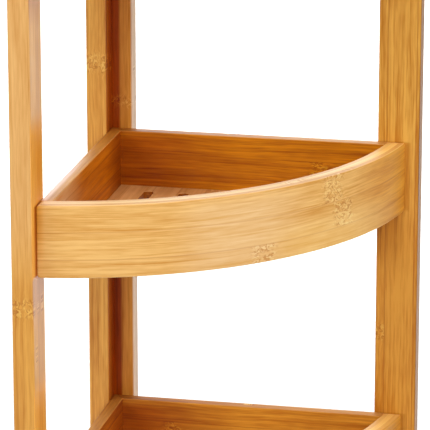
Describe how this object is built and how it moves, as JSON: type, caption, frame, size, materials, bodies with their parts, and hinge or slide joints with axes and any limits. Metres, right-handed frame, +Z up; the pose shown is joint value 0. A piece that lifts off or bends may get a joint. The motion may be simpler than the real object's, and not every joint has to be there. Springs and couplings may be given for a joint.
{
  "type": "corner shower caddy",
  "caption": "Free-standing bamboo corner caddy: quarter-round trays with curved front panels and slotted floors, screwed between upright posts.",
  "frame": {"origin": "centre of the footprint on the floor, under the foot pads", "axes": "+Z up along the posts; +X to the right along the back wall; +Y towards the back wall, so the corner post stands at low X and high Y and the curved fronts face low Y and high X"},
  "size_m": [0.241, 0.241, 0.573],
  "materials": {
    "bamboo_post": "satin clear lacquer over laminated bamboo, grain upright",
    "bamboo_rail": "satin clear lacquer over laminated bamboo, grain along the rail",
    "bamboo_panel": "satin clear lacquer over bent laminated bamboo, grain along the curve",
    "bamboo_floor": "sealed matt bamboo board, paler and pinker than the posts",
    "dowel_wood": "plain glued dowel",
    "screw_steel": "stainless steel, satin",
    "foot_rubber": "matt dark rubber"
  },
  "bodies": {
    "root": {"left_post": "bamboo_post", "right_post": "bamboo_post", "corner_post_board": "bamboo_post", "corner_post_strip": "bamboo_post", "bottom_side_rail": "bamboo_rail", "bottom_back_rail": "bamboo_rail", "bottom_front_panel": "bamboo_panel", "bottom_floor_panel": "bamboo_floor", "bottom_panel_dowels": "dowel_wood", "middle_side_rail": "bamboo_rail", "middle_back_rail": "bamboo_rail", "middle_front_panel": "bamboo_panel", "middle_floor_panel": "bamboo_floor", "middle_panel_dowels": "dowel_wood", "top_side_rail": "bamboo_rail", "top_back_rail": "bamboo_rail", "top_front_panel": "bamboo_panel", "top_floor_panel": "bamboo_floor", "top_panel_dowels": "dowel_wood", "left_post_screws": "screw_steel", "right_post_screws": "screw_steel", "corner_board_screws": "screw_steel", "corner_strip_screws": "screw_steel", "left_foot_pad": "foot_rubber", "right_foot_pad": "foot_rubber", "corner_foot_pad": "foot_rubber"}
  },
  "joints": []
}
